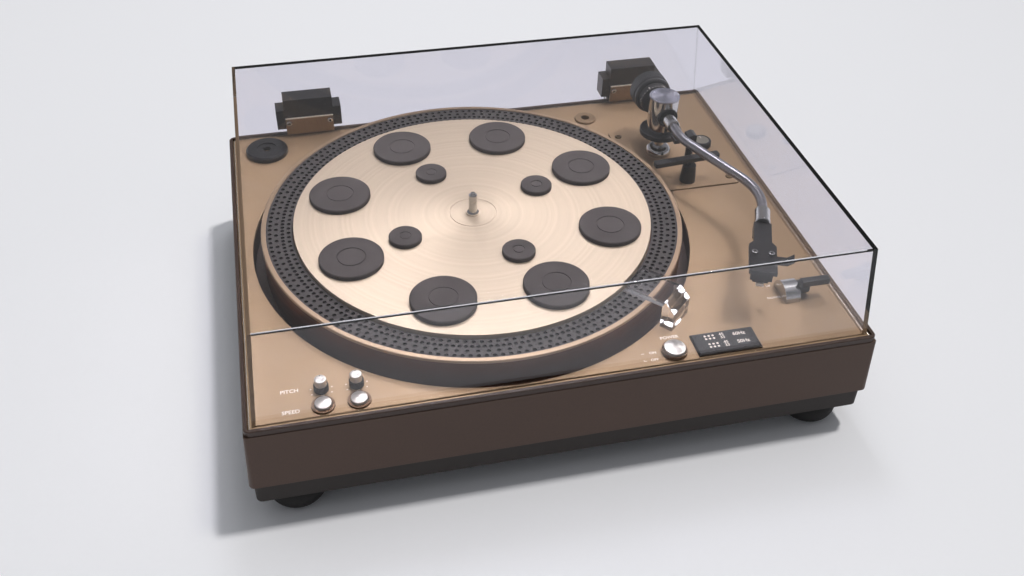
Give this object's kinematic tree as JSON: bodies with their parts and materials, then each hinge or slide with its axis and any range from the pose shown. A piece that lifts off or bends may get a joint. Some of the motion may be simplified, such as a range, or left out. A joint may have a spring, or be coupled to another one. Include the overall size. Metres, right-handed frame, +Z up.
{
  "type": "direct drive turntable",
  "caption": "Record player with a wide plinth on round feet, a spinning platter, an S-shaped tonearm, deck controls and a hinged clear dust cover.",
  "frame": {"origin": "centre of the bounding box at the height of the feet's undersides", "axes": "+X towards the tonearm's side, +Y from the front to the hinges, +Z up"},
  "size_m": [0.486, 0.4054, 0.1753],
  "materials": {
    "dark_case": "dark grey brown metallic finish",
    "tray": "satin black",
    "trim": "dark brown plastic",
    "champagne": "champagne metallic paint",
    "well_paint": "black",
    "rubber": "dark warm grey rubber",
    "steel": "zinc plated",
    "board": "green board",
    "lamp": "amber lamp in a dark holder",
    "clear": "clear acrylic",
    "silver_caps": "spun aluminium",
    "knobs": "satin aluminium",
    "platter_metal": "machined aluminium",
    "strobe": "dark grey with small pits",
    "chrome": "polished",
    "black_metal": "black lacquer",
    "black_parts": "black",
    "stylus": "pale stylus holder",
    "sockets": "plated",
    "gland": "black rubber"
  },
  "bodies": {
    "plinth": {"plinth_body": "dark_case", "base_tray": "tray", "rim_trim": "trim", "deck_plate": "champagne", "platter_well": "well_paint", "rubber_feet": "rubber", "foot_screws": "steel", "bearing_housing": "steel", "motor_stator": "steel", "transformer": "steel", "control_board": "board", "strobe_lamp": "lamp", "strobe_prism": "clear", "button_collars": "silver_caps", "legend_plate": "black_parts", "storage_socket": "black_parts", "arm_base_plate": "champagne", "base_screws": "chrome", "arm_pillar": "chrome", "pillar_flange": "black_metal", "armrest": "black_parts", "lifter_post": "black_parts", "cue_housing": "chrome", "hinge_leaves": "black_metal", "hinge_pins": "steel", "signal_sockets": "sockets", "cord_gland": "gland"},
    "platter": {"platter": "platter_metal", "platter_lip": "champagne", "strobe_ring": "strobe", "platter_pads": "rubber", "spindle": "chrome", "rotor_magnet": "steel"},
    "dust_cover": {"dust_cover": "clear", "hinge_blocks": "black_parts", "clamp_plates": "champagne", "clamp_screws": "chrome"},
    "arm_swivel": {"pivot_housing": "chrome", "pivot_cap": "chrome", "pitch_pins": "steel"},
    "tonearm": {"arm_block": "chrome", "arm_tube": "chrome"},
    "locking_collar": {"locking_collar": "chrome"},
    "headshell": {"headshell": "black_metal", "shell_screws": "chrome", "cartridge": "black_parts", "stylus": "stylus", "finger_lift": "black_metal"},
    "weight_carrier": {"weight_bush": "chrome"},
    "counterweight": {"counterweight": "black_metal"},
    "force_dial": {"force_dial": "black_parts"},
    "power_button": {"power_button": "silver_caps"},
    "speed_button_33": {"speed_button_33": "silver_caps"},
    "speed_button_45": {"speed_button_45": "silver_caps"},
    "pitch_knob_33": {"pitch_knob_33": "knobs"},
    "pitch_knob_45": {"pitch_knob_45": "knobs"},
    "lifter_bar": {"lifter_bar": "black_parts"},
    "cue_lever": {"cue_lever": "black_parts"},
    "antiskate_dial": {"antiskate_dial": "knobs"},
    "adaptor_45": {"adaptor_45": "black_parts"}
  },
  "joints": [
    {"name": "platter_spin", "type": "hinge", "parent": "plinth", "child": "platter", "pos_m": [-0.039, -0.00375, 0.1145], "axis": [0, 0, -1], "continuous": true},
    {"name": "cover_hinge", "type": "hinge", "parent": "plinth", "child": "dust_cover", "pos_m": [0, 0.19725, 0.091], "axis": [-1, 0, 0], "range_deg": [0, 62]},
    {"name": "arm_swing", "type": "hinge", "parent": "plinth", "child": "arm_swivel", "pos_m": [0.158, 0.08225, 0.127], "axis": [0, 0, -1], "range_deg": [0, 52]},
    {"name": "arm_pitch", "type": "hinge", "parent": "arm_swivel", "child": "tonearm", "pos_m": [0.158, 0.08225, 0.1405], "axis": [-1, 0, 0], "range_deg": [-0.4, 5.5]},
    {"name": "collar_turn", "type": "hinge", "parent": "tonearm", "child": "locking_collar", "pos_m": [0.17789, -0.10122, 0.1405], "axis": [-0.3907, -0.9205, 0], "range_deg": [0, 120]},
    {"name": "shell_pull", "type": "slide", "parent": "tonearm", "child": "headshell", "axis": [-0.3907, -0.9205, 0], "range_m": [0, 0.015]},
    {"name": "weight_travel", "type": "slide", "parent": "tonearm", "child": "weight_carrier", "axis": [0, 1, 0], "range_m": [-0.003, 0.003]},
    {"name": "weight_turn", "type": "hinge", "parent": "weight_carrier", "child": "counterweight", "pos_m": [0.158, 0.11725, 0.1405], "axis": [0, 1, 0], "range_deg": [-720, 720]},
    {"name": "dial_turn", "type": "hinge", "parent": "counterweight", "child": "force_dial", "pos_m": [0.158, 0.10425, 0.1405], "axis": [0, 1, 0], "continuous": true},
    {"name": "power_press", "type": "slide", "parent": "plinth", "child": "power_button", "axis": [0, 0, -1], "range_m": [0, 0.0025], "stiffness_N_per_m": 400, "springref_m": -0.001},
    {"name": "speed_press_33", "type": "slide", "parent": "plinth", "child": "speed_button_33", "axis": [0, 0, -1], "range_m": [0, 0.002], "stiffness_N_per_m": 300, "springref_m": -0.001},
    {"name": "speed_press_45", "type": "slide", "parent": "plinth", "child": "speed_button_45", "axis": [0, 0, -1], "range_m": [0, 0.002], "stiffness_N_per_m": 300, "springref_m": -0.001},
    {"name": "pitch_turn_33", "type": "hinge", "parent": "plinth", "child": "pitch_knob_33", "pos_m": [-0.183, -0.16525, 0.095], "axis": [0, 0, 1], "range_deg": [-150, 150]},
    {"name": "pitch_turn_45", "type": "hinge", "parent": "plinth", "child": "pitch_knob_45", "pos_m": [-0.1576, -0.16525, 0.095], "axis": [0, 0, 1], "range_deg": [-150, 150]},
    {"name": "cue_turn", "type": "hinge", "parent": "plinth", "child": "cue_lever", "pos_m": [0.1932, -0.13375, 0.101], "axis": [-1, 0, 0], "range_deg": [0, 60]},
    {"name": "lifter_rise", "type": "slide", "parent": "plinth", "child": "lifter_bar", "axis": [0, 0, 1], "range_m": [0, 0.014]},
    {"name": "antiskate_turn", "type": "hinge", "parent": "plinth", "child": "antiskate_dial", "pos_m": [0.2025, 0.08425, 0.1], "axis": [0, 0, 1], "range_deg": [0, 270]},
    {"name": "adaptor_lift", "type": "slide", "parent": "plinth", "child": "adaptor_45", "axis": [0, 0, 1], "range_m": [0, 0.03]}
  ],
  "couplings": [
    {"joint": "weight_travel", "follows": "weight_turn", "m_per_rad": 0.0002387},
    {"joint": "lifter_rise", "follows": "cue_turn", "m_per_rad": 0.01336}
  ]
}
